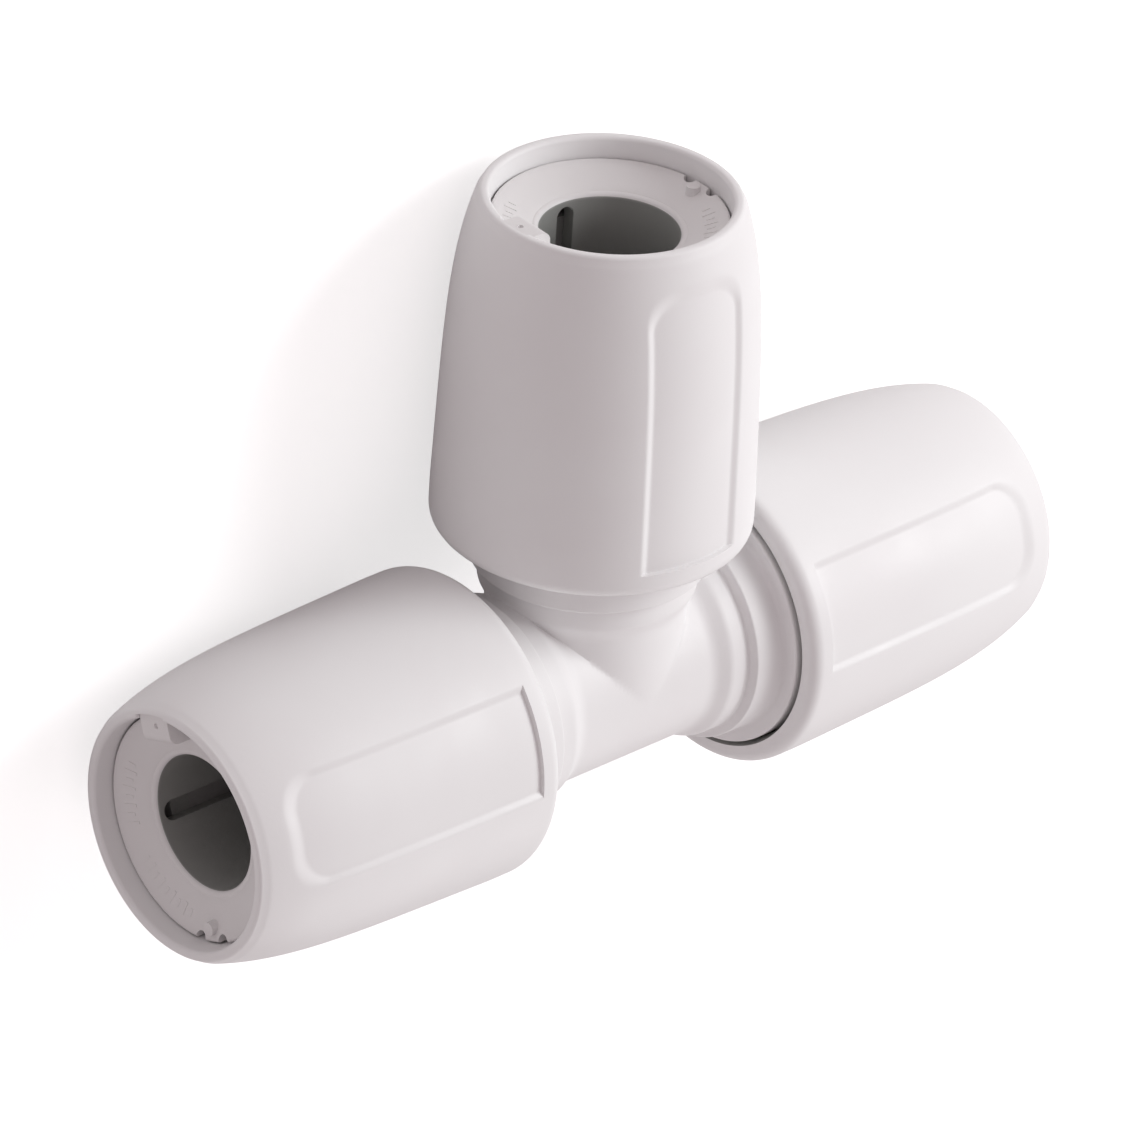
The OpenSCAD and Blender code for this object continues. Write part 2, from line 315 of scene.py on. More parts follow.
class Loft:
    """Skins sections that have the same number of points."""

    @staticmethod
    def solid(sections: list[list[Vector]]) -> bmesh.types.BMesh:
        """Joins closed sections into one solid with flat ends.

        Args:
            sections: The closed sections in order, each with as many points as the others.

        Returns:
            The mesh in the arm's own millimetres.
        """
        bm = bmesh.new()
        loops = [[bm.verts.new(p) for p in section] for section in sections]
        count = len(loops[0])
        for near, far in zip(loops, loops[1:]):
            for i in range(count):
                k = (i + 1) % count
                bm.faces.new((near[i], near[k], far[k], far[i]))
        bm.faces.new(list(reversed(loops[0])))
        bm.faces.new(loops[-1])
        bmesh.ops.recalc_face_normals(bm, faces=bm.faces)
        return bm

    @staticmethod
    def ribs(half: float, steps: int, section: Callable[[float], list[Point]]) -> bmesh.types.BMesh:
        """Joins sections that stand side by side along the panel's direction.

        Args:
            half: How far the solid goes to each side.
            steps: Number of steps from side to side.
            section: Draws the section at a place, as distances on the tab's direction and along the arm.

        Returns:
            The mesh in the arm's own millimetres.
        """
        places = [half * (2 * i / steps - 1) for i in range(steps + 1)]
        return Loft.solid([[Vector((x, y, z)) for y, z in section(x)] for x in places])

    @staticmethod
    def block(low: tuple[float, float, float], high: tuple[float, float, float]) -> bmesh.types.BMesh:
        """Returns a block between two corners."""
        corners = [(low[0], low[1]), (high[0], low[1]), (high[0], high[1]), (low[0], high[1])]
        return Loft.solid([[Vector((x, y, z)) for x, y in corners] for z in (low[2], high[2])])

    @staticmethod
    def peg(centre: Point, radii: Point, low: float, high: float, sides: int = 32) -> bmesh.types.BMesh:
        """Builds a round peg along the arm, which may taper.

        Args:
            centre: Place of its axis on the panel's and the tab's direction.
            radii: Its radius at the low end and at the high end.
            low: Distance of its low end from the crossing.
            high: Distance of its high end.
            sides: Number of its sides.

        Returns:
            The mesh in the arm's own millimetres.
        """
        sections = []
        for radius, z in zip(radii, (low, high)):
            sections.append([
                Vector((centre[0] + radius * math.cos(a), centre[1] + radius * math.sin(a), z))
                for a in (2 * math.pi * i / sides for i in range(sides))
            ])
        return Loft.solid(sections)


class Workshop:
    """Turns meshes into objects and works on them."""

    @staticmethod
    def blank(name: str, bm: bmesh.types.BMesh) -> bpy.types.Object:
        """Makes an object of a mesh, and frees the mesh.

        Args:
            name: Name of the object.
            bm: The mesh.

        Returns:
            The object, linked to the scene.
        """
        mesh = bpy.data.meshes.new(name)
        bm.to_mesh(mesh)
        bm.free()
        made = bpy.data.objects.new(name, mesh)
        bpy.context.scene.collection.objects.link(made)
        return made

    @staticmethod
    def combine(blank: bpy.types.Object, bm: bmesh.types.BMesh, how: Join) -> None:
        """Cuts a shape out of a blank, or welds it on.

        Args:
            blank: The object that is worked on.
            bm: The shape that is cut out or welded on.
            how: Which of the two.
        """
        tool = Workshop.blank("shaping_tool", bm)
        step = blank.modifiers.new("combine", "BOOLEAN")
        step.operation = how.value
        step.solver = "EXACT"
        step.object = tool
        Workshop.settle(blank)
        bpy.data.objects.remove(tool)
        Workshop.close_up(blank.data)

    @staticmethod
    def close_up(mesh: bpy.types.Mesh, least: float = 0.004) -> None:
        """Merges the crumbs that a cut leaves along its edges.

        Args:
            mesh: The mesh that was worked on.
            least: Shortest edge in millimetres that stays.
        """
        bm = bmesh.new()
        bm.from_mesh(mesh)
        bmesh.ops.remove_doubles(bm, verts=bm.verts, dist=least)
        bmesh.ops.dissolve_degenerate(bm, edges=bm.edges, dist=least / 4)
        bm.to_mesh(mesh)
        bm.free()

    @staticmethod
    def gather(whole: bmesh.types.BMesh, part: bmesh.types.BMesh) -> None:
        """Adds a mesh to another, and frees it."""
        carrier = bpy.data.meshes.new("carrier")
        part.to_mesh(carrier)
        part.free()
        whole.from_mesh(carrier)
        bpy.data.meshes.remove(carrier)

    @staticmethod
    def settle(blank: bpy.types.Object) -> None:
        """Writes the blank's modifiers into its mesh."""
        bpy.context.view_layer.update()
        graph = bpy.context.evaluated_depsgraph_get()
        worked = bpy.data.meshes.new_from_object(blank.evaluated_get(graph))
        blank.modifiers.clear()
        old = blank.data
        blank.data = worked
        bpy.data.meshes.remove(old)

    @staticmethod
    def place(
        pattern: bpy.types.Mesh,
        name: str,
        seat: Matrix,
        materials: list[bpy.types.Material],
        crease: float = 32.0,
    ) -> bpy.types.Object:
        """Sets a copy of a shaped mesh on its arm, with its finish.

        Args:
            pattern: The shaped mesh, in the arm's own millimetres.
            name: Name of the piece.
            seat: The move to its place on the tee.
            materials: The finish outside, and the darker grey that paints the shade on the inside faces where it
                differs.
            crease: Angle in degrees from which an edge stays sharp.

        Returns:
            The piece.
        """
        mesh = pattern.copy()
        mesh.name = name
        mesh.transform(seat)
        sides = [face.material_index for face in mesh.polygons]
        mesh.materials.clear()
        for material in materials:
            mesh.materials.append(material)
        mesh.polygons.foreach_set("material_index", sides)
        mesh.shade_smooth()
        mesh.set_sharp_from_angle(angle=math.radians(crease))
        piece = bpy.data.objects.new(name, mesh)
        bpy.context.scene.collection.objects.link(piece)
        return piece


class NodeBench:
    """Adds the nodes of one tree, and feeds and links them."""

    def __init__(self, tree: bpy.types.NodeTree) -> None:
        """Takes the tree that is built."""
        self.tree = tree

    @classmethod
    def for_material(cls, name: str) -> tuple[bpy.types.Material, NodeBench, bpy.types.Node]:
        """Opens a new material.

        Args:
            name: Name of the material.

        Returns:
            The material, the bench for its nodes, and its shader.
        """
        material = bpy.data.materials.new(name)
        material.use_nodes = True
        return material, cls(material.node_tree), material.node_tree.nodes["Principled BSDF"]

    def add(self, kind: str, feed: dict[str | int, Feed] | None = None, **settings: object) -> bpy.types.Node:
        """Adds a node.

        Args:
            kind: Blender's name for the node.
            feed: What goes into each of its inputs.
            **settings: Properties of the node.

        Returns:
            The node.
        """
        node = self.tree.nodes.new(kind)
        for key, value in settings.items():
            setattr(node, key, value)
        node.location = (200 * len(self.tree.nodes), 0)
        self.feed(node, feed or {})
        return node

    def feed(self, node: bpy.types.Node, feed: dict[str | int, Feed]) -> None:
        """Sets inputs of a node to values, or links them from sockets.

        Args:
            node: The node.
            feed: What goes into each input.
        """
        for key, value in feed.items():
            if isinstance(value, bpy.types.NodeSocket):
                self.tree.links.new(value, node.inputs[key])
            else:
                node.inputs[key].default_value = value

    def group(self, tree: bpy.types.NodeTree, feed: dict[str | int, Feed]) -> Outputs:
        """Puts a shared group in, and returns its outputs."""
        return self.add("ShaderNodeGroup", feed, node_tree=tree).outputs

    def noise(self, place: Feed, scale: Feed, detail: float, distortion: float = 0.0) -> bpy.types.NodeSocket:
        """Adds a noise.

        Args:
            place: The place on the piece.
            scale: Scale of the noise.
            detail: Number of finer layers.
            distortion: How far its shapes are drawn out.

        Returns:
            Its value.
        """
        feed = {"Vector": place, "Scale": scale, "Detail": detail, "Distortion": distortion}
        return self.add("ShaderNodeTexNoise", feed).outputs["Fac"]

    def remap(
        self,
        value: Feed,
        low: float = 0.0,
        high: float = 1.0,
        to: tuple[Feed, Feed] = (0.0, 1.0),
        kind: str = "LINEAR",
    ) -> bpy.types.NodeSocket:
        """Maps a range of values to another.

        Args:
            value: The value.
            low: Least value of its range.
            high: Greatest value of its range.
            to: What they are mapped to.
            kind: How it goes from the one to the other.

        Returns:
            The mapped value.
        """
        feed = {"Value": value, "From Min": low, "From Max": high, "To Min": to[0], "To Max": to[1]}
        return self.add("ShaderNodeMapRange", feed, interpolation_type=kind).outputs["Result"]

    def math(self, operation: str, *values: Feed, clamp: bool = False) -> bpy.types.NodeSocket:
        """Works a value out of others.

        Args:
            operation: What is done with the values.
            *values: The values.
            clamp: Whether the result is held between 0 and 1.

        Returns:
            The result.
        """
        feed = dict(enumerate(values))
        return self.add("ShaderNodeMath", feed, operation=operation, use_clamp=clamp).outputs["Value"]

    def bump(self, height: Feed, depth: float) -> bpy.types.NodeSocket:
        """Turns a height into a normal.

        Args:
            height: The height.
            depth: Depth in metres that a height of one stands for.

        Returns:
            The normal.
        """
        feed = {"Strength": 1.0, "Distance": depth, "Height": height}
        return self.add("ShaderNodeBump", feed).outputs["Normal"]


class SurfaceGroups:
    """The node groups that the finishes share. Each is built once."""

    SOCKETS = {None: "NodeSocketVector", float: "NodeSocketFloat", tuple: "NodeSocketColor"}

    @classmethod
    def _start(cls, name: str, ins: dict[str, Feed], outs: dict[str, type]) -> NodeBench | None:
        """Opens a new node group with its sockets.

        Args:
            name: Name of the group.
            ins: First value of each input, after the place on the piece.
            outs: Kind of each output.

        Returns:
            The bench for the group, or None if the group is there already.
        """
        if name in bpy.data.node_groups:
            return None
        tree = bpy.data.node_groups.new(name, "ShaderNodeTree")
        tree.interface.new_socket(name="Vector", in_out="INPUT", socket_type=cls.SOCKETS[None])
        for socket, value in ins.items():
            kind = cls.SOCKETS[type(value)]
            tree.interface.new_socket(name=socket, in_out="INPUT", socket_type=kind).default_value = value
        for socket, kind in outs.items():
            tree.interface.new_socket(name=socket, in_out="OUTPUT", socket_type=cls.SOCKETS[kind])
        return NodeBench(tree)

    @classmethod
    def moulded_skin(cls) -> bpy.types.NodeTree:
        """Builds the fine spark-eroded grain and slow waviness of a moulded face.

        Returns:
            The group, which puts out a height and a roughness.
        """
        name = "moulded_skin"
        ins = {"Grain Scale": 2600.0, "Wave Scale": 120.0, "Smooth Roughness": 0.36, "Dull Roughness": 0.5}
        bench = cls._start(name, ins, {"Height": float, "Roughness": float})
        if bench:
            given = bench.add("NodeGroupInput").outputs
            grain = bench.noise(given["Vector"], given["Grain Scale"], 2.0)
            wave = bench.noise(given["Vector"], given["Wave Scale"], 1.0)
            height = bench.math("MULTIPLY_ADD", wave, 2.0, grain)
            rough = bench.remap(wave, 0.3, 0.7, (given["Smooth Roughness"], given["Dull Roughness"]))
            bench.add("NodeGroupOutput", {"Height": height, "Roughness": rough})
        return bpy.data.node_groups[name]

    @classmethod
    def flow_tone(cls) -> bpy.types.NodeTree:
        """Builds the slow drift in tone that the flow of the plastic leaves.

        Returns:
            The group, which puts out a colour.
        """
        name = "flow_tone"
        ins = {"Scale": 28.0, "Color": (0.8, 0.8, 0.8, 1.0), "Drift Color": (0.75, 0.73, 0.73, 1.0)}
        bench = cls._start(name, ins, {"Color": tuple})
        if bench:
            given = bench.add("NodeGroupInput").outputs
            drift = bench.noise(given["Vector"], given["Scale"], 3.0, 0.6)
            ease = bench.remap(drift, 0.38, 0.66, kind="SMOOTHSTEP")
            feed = {0: ease, 6: given["Color"], 7: given["Drift Color"]}
            mix = bench.add("ShaderNodeMix", feed, data_type="RGBA")
            bench.add("NodeGroupOutput", {"Color": mix.outputs[2]})
        return bpy.data.node_groups[name]

    @classmethod
    def handling_marks(cls) -> bpy.types.NodeTree:
        """Builds the faint rubbed patches and fine scuffs of a piece that has been handled.

        Returns:
            The group, which puts out a roughness and a scuff mask.
        """
        name = "handling_marks"
        ins = {"Scale": 60.0, "Roughness": 0.4, "Rub": 0.08}
        bench = cls._start(name, ins, {"Roughness": float, "Scuff": float})
        if bench:
            given = bench.add("NodeGroupInput").outputs
            rubbed = bench.noise(given["Vector"], given["Scale"], 4.0, 1.2)
            scuffs = bench.noise(given["Vector"], 900.0, 1.0, 3.0)
            peak = bench.remap(scuffs, 0.68, 0.74, kind="SMOOTHSTEP")
            patch = bench.remap(rubbed, 0.5, 0.7, (0.0, given["Rub"]), "SMOOTHSTEP")
            dull = bench.math("SUBTRACT", given["Roughness"], patch, clamp=True)
            bench.add("NodeGroupOutput", {"Roughness": dull, "Scuff": bench.math("MULTIPLY", peak, rubbed)})
        return bpy.data.node_groups[name]


class Finish:
    """What every finish shares: a material that is made once."""

    name: str

    def material(self) -> bpy.types.Material:
        """Returns the finish's material, which is made at the first call."""
        made = bpy.data.materials.get(self.name)
        if made is None:
            made, bench, shader = NodeBench.for_material(self.name)
            place = bench.add("ShaderNodeTexCoord").outputs["Object"]
            bench.feed(shader, self._surface(bench, place))
        return made

    def _surface(self, bench: NodeBench, place: bpy.types.NodeSocket) -> dict[str, Feed]:
        """Builds the finish's own nodes.

        Args:
            bench: The bench for the material's nodes.
            place: The place on the piece.

        Returns:
            What goes into the shader.
        """
        raise NotImplementedError


@dataclass(frozen=True)
class MouldedPlastic(Finish):
    """Satin white plastic as it comes out of a spark-eroded mould."""

    name: str
    color: Rgb = (0.87, 0.865, 0.867)
    drift_color: Rgb = (0.85, 0.838, 0.842)
    smooth: float = 0.46
    dull: float = 0.56
    grain_depth: float = 0.000004
    ior: float = 1.48

    def _surface(self, bench: NodeBench, place: bpy.types.NodeSocket) -> dict[str, Feed]:
        """Returns what goes into the shader: drifting tone, eroded grain and handling marks."""
        tone = bench.group(
            SurfaceGroups.flow_tone(),
            {"Vector": place, "Color": (*self.color, 1.0), "Drift Color": (*self.drift_color, 1.0)},
        )
        skin = bench.group(
            SurfaceGroups.moulded_skin(),
            {"Vector": place, "Smooth Roughness": self.smooth, "Dull Roughness": self.dull},
        )
        marks = bench.group(SurfaceGroups.handling_marks(), {"Vector": place, "Roughness": skin["Roughness"]})
        height = bench.math("SUBTRACT", skin["Height"], marks["Scuff"])
        return {
            "Base Color": tone["Color"], "Roughness": marks["Roughness"], "IOR": self.ior,
            "Normal": bench.bump(height, self.grain_depth),
        }


@dataclass(frozen=True)
class StampedSteel(Finish):
    """Thin spring steel with the fine lines of the rolled strip."""

    name: str
    color: Rgb = (0.62, 0.63, 0.65)
    line_scale: float = 900.0
    line_stretch: float = 0.04
    line_depth: float = 0.000003
    shine: tuple[float, float] = (0.24, 0.42)

    def _surface(self, bench: NodeBench, place: bpy.types.NodeSocket) -> dict[str, Feed]:
        """Returns what goes into the shader: lines that run one way across the ring, and handling marks."""
        stretch = bench.add("ShaderNodeMapping", {"Vector": place, "Scale": (1.0, self.line_stretch, 1.0)})
        lines = bench.noise(stretch.outputs["Vector"], self.line_scale, 3.0)
        rough = bench.remap(lines, to=self.shine)
        marks = bench.group(SurfaceGroups.handling_marks(), {"Vector": place, "Roughness": rough})
        return {
            "Base Color": (*self.color, 1.0), "Metallic": 1.0, "Roughness": marks["Roughness"],
            "Normal": bench.bump(lines, self.line_depth),
        }


@dataclass(frozen=True)
class SealRubber(Finish):
    """Black moulded rubber with a thin film of silicone grease."""

    name: str
    color: Rgb = (0.03, 0.03, 0.033)
    bloom_color: Rgb = (0.055, 0.055, 0.058)
    bloom_scale: float = 160.0
    smooth: float = 0.42
    dull: float = 0.62
    grain_depth: float = 0.000006
    grease: float = 0.25

    def _surface(self, bench: NodeBench, place: bpy.types.NodeSocket) -> dict[str, Feed]:
        """Returns what goes into the shader: dull rubber with a slight bloom, under grease."""
        tone = bench.group(
            SurfaceGroups.flow_tone(),
            {
                "Vector": place, "Scale": self.bloom_scale, "Color": (*self.color, 1.0),
                "Drift Color": (*self.bloom_color, 1.0),
            },
        )
        skin = bench.group(
            SurfaceGroups.moulded_skin(),
            {"Vector": place, "Smooth Roughness": self.smooth, "Dull Roughness": self.dull},
        )
        return {
            "Base Color": tone["Color"], "Roughness": skin["Roughness"], "Coat Weight": self.grease,
            "Normal": bench.bump(skin["Height"], self.grain_depth),
        }


@dataclass
class Body:
    """The moulded body: three arms that meet in mitred creases, each with collar, shoulder and socket."""

    sizes: TeeSizes
    finish: MouldedPlastic
    # The inside finish is a darker grey that paints the shade in the hollow; the plastic there is white
    inside: MouldedPlastic
    columns: int = 144
    row_step: float = 0.5
    lug_gap: float = 0.1
    lug_end_gap: float = 1.0
    blend_reach: float = 0.55
    blend_rounds: int = 2

    def _side(self) -> list[Point]:
        """Returns the outside of one arm, from the crossing to the socket's end."""
        s = self.sizes
        near = eased(
            [
                (s.tube_r, 0.0, 0.0), (s.tube_r, s.collar_start, 0.8),
                (s.collar_r, s.collar_start + s.collar_rise, 0.45), (s.collar_r, s.band_start, 0.2),
                (s.band_r, s.band_start + s.band_rise, 0.2), (s.band_r, s.shoulder_at, s.shoulder_fillet),
                (s.socket_r, s.shoulder_at, s.bevel), (s.socket_r, s.shoulder_at + 1, 0.0),
            ],
            self.row_step,
        )
        far = [(s.socket_r, s.socket_end - s.bevel), (s.socket_r - s.bevel, s.socket_end)]
        return near + between(near[-1], far[0], 4.0) + far[1:]

    def _hollow(self) -> list[Point]:
        """Returns the inside of one arm, from the socket's end back to the crossing."""
        s = self.sizes
        inside = [
            (s.chamber_r + s.bevel, s.socket_end), (s.chamber_r, s.socket_end - s.bevel),
            (s.chamber_r, s.backing_under), (s.seal_groove_r, s.backing_under), (s.seal_groove_r, s.seat_end),
            (s.seat_r + s.bevel, s.seat_end), (s.seat_r, s.seat_end - s.bevel), (s.seat_r, s.pipe_stop),
            (s.waterway_r + s.bevel, s.pipe_stop), (s.waterway_r, s.pipe_stop - s.bevel),
        ]
        return inside + between(inside[-1], (s.waterway_r, 0.0), self.row_step)

    def _lugs(self, arms: list[Arm]) -> bmesh.types.BMesh:
        """Returns the two snap lugs of each arm, about the crossing."""
        s = self.sizes
        low, tall = s.snap_z + self.lug_gap, s.snap_len - 2 * self.lug_gap
        root, tip = s.socket_r - s.bevel, s.socket_r + s.lug_h
        outline = [(root, low), (tip, low), (tip, low + tall / 2), (root, low + tall)]
        lugs = bmesh.new()
        half = s.snap_half_span - self.lug_end_gap
        for arm in arms:
            for side in (0, 180):
                lug = Lathe.sector(outline, side - half, side + half, 18)
                lug.transform(arm.turn())
                Workshop.gather(lugs, lug)
        return lugs

    def build(self, arms: list[Arm]) -> bpy.types.Object:
        """Builds the body and sets it on the tee.

        Args:
            arms: The three arms.

        Returns:
            The piece.
        """
        outline = self._side() + self._hollow()
        whole = bmesh.new()
        for arm in arms:
            straight = Arm(arm.mouth, arm.crossing, arm.outward, Vector((0, 0, 1)))
            part = Lathe.turn(outline, Lathe.even(self.columns), closed=False)
            part.transform(straight.turn())
            self._mitre(part, arm.outward)
            Workshop.gather(whole, part)
        bmesh.ops.remove_doubles(whole, verts=whole.verts, dist=0.004)
        self._blend(whole)
        bmesh.ops.recalc_face_normals(whole, faces=whole.faces)
        blank = Workshop.blank("body_shape", whole)
        Workshop.combine(blank, self._lugs(arms), Join.WELD)
        # Faces in the hollow take the darker grey that paints the shade there
        for face in blank.data.polygons:
            face.material_index = int(self._in_painted_shade(face.center, arms))
        seat = Matrix.Translation(arms[0].crossing) @ Matrix.Scale(MM, 4)
        finishes = [self.finish.material(), self.inside.material()]
        piece = Workshop.place(blank.data, "tee_body", seat, finishes, crease=38.0)
        bpy.data.objects.remove(blank)
        return piece

    def _in_painted_shade(self, middle: Vector, arms: list[Arm]) -> bool:
        """Tells whether a face lines the hollow, and so takes the darker grey that paints the shade there.

        Args:
            middle: Middle of the face, from the crossing.
            arms: The three arms.

        Returns:
            Whether it lies in the water channel, a seat or a chamber.
        """
        s = self.sizes
        along, outward = max((middle.dot(arm.outward), tuple(arm.outward)) for arm in arms)
        reach = (middle - Vector(outward) * along).length
        return reach < s.seat_r + s.bevel * 2 or (along > s.pipe_stop and reach < s.chamber_r + s.bevel)

    @staticmethod
    def _mitre(part: bmesh.types.BMesh, outward: Vector) -> None:
        """Cuts an arm off where it meets its neighbours.

        Args:
            part: The arm, about the crossing.
            outward: The way out through its mouth.
        """
        branch = Vector((0, 1, 0))
        run = Vector((1, 0, 0))
        normals = [branch - outward] if outward.y == 0 else [run - branch, -run - branch]
        for normal in normals:
            geometry = [*part.verts, *part.edges, *part.faces]
            bmesh.ops.bisect_plane(part, geom=geometry, plane_co=(0, 0, 0), plane_no=normal, clear_outer=True)

    def _blend(self, whole: bmesh.types.BMesh) -> None:
        """Softens the creases between the arms, as the mould's own radius does.

        Args:
            whole: The body, about the crossing.
        """
        near = []
        for vert in whole.verts:
            x, y, z = vert.co
            depth = math.hypot(z, min(abs(x), y) if y > 0 else abs(y))
            if y > 0 and abs(abs(x) - y) < self.blend_reach and depth > self.sizes.waterway_r + 2:
                near.append(vert)
        for _ in range(self.blend_rounds):
            bmesh.ops.smooth_vert(
                whole, verts=near, factor=0.5, use_axis_x=True, use_axis_y=True, use_axis_z=True
            )


@dataclass
class ArmPiece:
    """A piece that each arm has one of. Its shape is made once.

    Its cuts go past what they open by the overshoot.
    """

    sizes: TeeSizes
    finish: MouldedPlastic
    # The inside finish is a darker grey that paints the shade in the hollow and the gaps; the plastic there is
    # white
    inside: MouldedPlastic
    overshoot: float = 1.0
    pattern: bpy.types.Mesh | None = field(default=None, repr=False)

    label = ""

    def _shape(self) -> bpy.types.Object:
        """Builds the shape, in the arm's own millimetres."""
        raise NotImplementedError

    def _in_painted_shade(self, middle: Vector) -> bool:
        """Tells whether a face takes the darker grey that paints the shade inside."""
        raise NotImplementedError

    def build(self, arm: Arm) -> bpy.types.Object:
        """Sets a copy on an arm.

        Args:
            arm: The arm.

        Returns:
            The piece.
        """
        if self.pattern is None:
            blank = self._shape()
            self.pattern = blank.data
            bpy.data.objects.remove(blank)
            # Faces in the hollow and the gaps take the darker grey that paints the shade there
            for face in self.pattern.polygons:
                face.material_index = int(self._in_painted_shade(face.center))
        finishes = [self.finish.material(), self.inside.material()]
        return Workshop.place(self.pattern, f"{arm.mouth.value}_{self.label}", arm.seat(), finishes)


@dataclass
class Cap(ArmPiece):
    """The barrel-shaped cap with two recessed panels, two snap pockets inside and the tab's keyway."""

    panel_half_w: float = 6.1
    panel_start: float = 4.6
    panel_corner: float = 4.0
    panel_depth: float = 0.5
    panel_border: float = 0.9
    panel_end_border: float = 2.2
    panel_step: float = 0.05
    close_rows_end: float = 9.8
    row_steps: tuple[float, float, float] = (0.5, 0.2, 0.9)
    close_span: float = 54.0
    close_columns: int = 90
    wide_columns: int = 60
    web_gap: float = 0.1
    pocket_gap: float = 0.1

    label = "barrel_cap"

    def _side_r(self, t: float) -> float:
        """Returns the cap's outside radius at a distance from its mouth."""
        s = self.sizes
        u = max(0.0, 1 - t / s.side_len)
        return s.cap_r - s.cap_draft * u - s.cap_sweep * u**5

    def _side_rows(self) -> list[float]:
        """Returns the distances from the mouth of the side's rows, close together at the panels' ends."""
        s = self.sizes
        close_start, last = self.panel_start - 1, s.arm_len - s.panel_end - self.panel_step
        marks = [s.lip_round, close_start, self.close_rows_end, last]
        rows = []
        for low, high, step in zip(marks, marks[1:], self.row_steps):
            count = math.ceil((high - low) / step)
            rows += [low + (high - low) * i / count for i in range(1, count + 1)]
        return rows

    def _outline(self) -> list[Point]:
        """Returns the closed outline of the cap, from its lip over the side and back through the hollow."""
        s = self.sizes
        top, rear = s.arm_len, s.arm_len - s.cap_len
        outline = arc((s.mouth_r - s.lip_round, top - s.lip_round), (s.lip_round, s.lip_round), 90, 6, 6)
        outline += [(self._side_r(t), top - t) for t in self._side_rows()]
        round_z = rear + s.rear_round
        outline += [(s.cap_r, s.panel_end - self.panel_step), (s.cap_r, (s.panel_end + round_z) / 2)]
        outline += arc((s.cap_r - s.rear_w, round_z), (s.rear_w, s.rear_round), 0, -90, 10)
        outline += [(s.cap_bore_r + s.lead_in_w, rear), (s.cap_bore_r, rear + s.lead_in_len)]
        under = s.socket_end + self.web_gap
        for corner in (
            (s.cap_bore_r, under), (s.flange_hole_r, under), (s.flange_hole_r, s.web_under),
            (s.neck_r, s.web_under), (s.neck_r, s.web_top), (s.lip_r, s.web_top),
        ):
            outline += between(outline[-1], corner, 3.0)
        outline += between(outline[-1], (s.lip_r, top - s.lip_round), 1.5)
        inner = arc((s.lip_r + s.lip_round, top - s.lip_round), (s.lip_round, s.lip_round), 180, 90, 6)
        return outline + inner[1:]

    def _columns(self) -> list[float]:
        """Returns the angles of the columns, close together over the panels."""
        columns, close, wide = [], self.close_span, 180 - self.close_span
        for side in (0, 180):
            columns += [side - close / 2 + close * i / self.close_columns for i in range(self.close_columns)]
            columns += [side + close / 2 + wide * i / self.wide_columns for i in range(self.wide_columns)]
        return sorted(angle % 360 for angle in columns)

    def _sink(self, angle: float, radius: float, distance: float) -> float:
        """Tells how far the side sinks into a panel.

        Args:
            angle: Angle of the point from the panel's direction, in radians.
            radius: The side's radius there.
            distance: The point's distance from the crossing.

        Returns:
            The depth in millimetres.
        """
        s = self.sizes
        t = s.arm_len - distance
        on_side = radius > self._side_r(max(0.0, t)) - s.cap_wall + 0.4 and distance > s.panel_end
        if not on_side or t < self.panel_start - self.panel_end_border:
            return 0.0
        across = abs(radius * math.sin(angle)) - self.panel_half_w + self.panel_corner
        along = self.panel_start + self.panel_corner - t
        edge = math.hypot(max(across, 0.0), max(along, 0.0)) + min(max(across, along), 0.0)
        edge -= self.panel_corner
        near_end = smooth_step(along / self.panel_corner)
        border = self.panel_border + (self.panel_end_border - self.panel_border) * near_end
        return self.panel_depth * smooth_step(0.5 - edge / border)

    def _snap_pocket(self, side: float) -> bmesh.types.BMesh:
        """Returns the pocket inside the cap for a snap lug, at an angle round the arm."""
        s = self.sizes
        inner, top = s.cap_bore_r - s.bevel, s.snap_z + s.snap_len
        roof = s.socket_r + s.lug_h + self.pocket_gap
        outline = [(inner, s.snap_z), (roof, s.snap_z), (roof, top), (inner, top)]
        return Lathe.sector(outline, side - s.snap_half_span, side + s.snap_half_span, 24)

    def _keyway(self) -> bmesh.types.BMesh:
        """Returns the keyway in the lip that the collet's tab slides in."""
        s = self.sizes
        half, reach = s.tab_w / 2 + s.tab_gap, s.tab_r + s.tab_gap
        inner, low, high = s.lip_r - 2, s.web_top + 0.02, s.arm_len + self.overshoot

        def section(x: float) -> list[Point]:
            """Returns the section at a place across the keyway."""
            y = math.sqrt(reach**2 - x**2)
            return [(inner, low), (y, low), (y, high), (inner, high)]

        return Loft.ribs(half, 12, section)

    def _in_painted_shade(self, middle: Vector) -> bool:
        """Tells whether a face lies in the hollow, from the collet's head down to the rear edge, where the
        darker grey paints the shade.
        """
        s = self.sizes
        reach = math.hypot(middle.x, middle.y)
        limit = s.cap_bore_r + 0.3 if middle.z < s.web_under else s.lip_r + 0.2
        return middle.z < s.head_under and reach < limit

    def _shape(self) -> bpy.types.Object:
        """Returns the cap, turned and cut."""
        blank = Workshop.blank("cap_shape", Lathe.turn(self._outline(), self._columns(), sink=self._sink))
        for cut in (self._keyway(), self._snap_pocket(0.0), self._snap_pocket(180.0)):
            Workshop.combine(blank, cut, Join.CUT)
        return blank


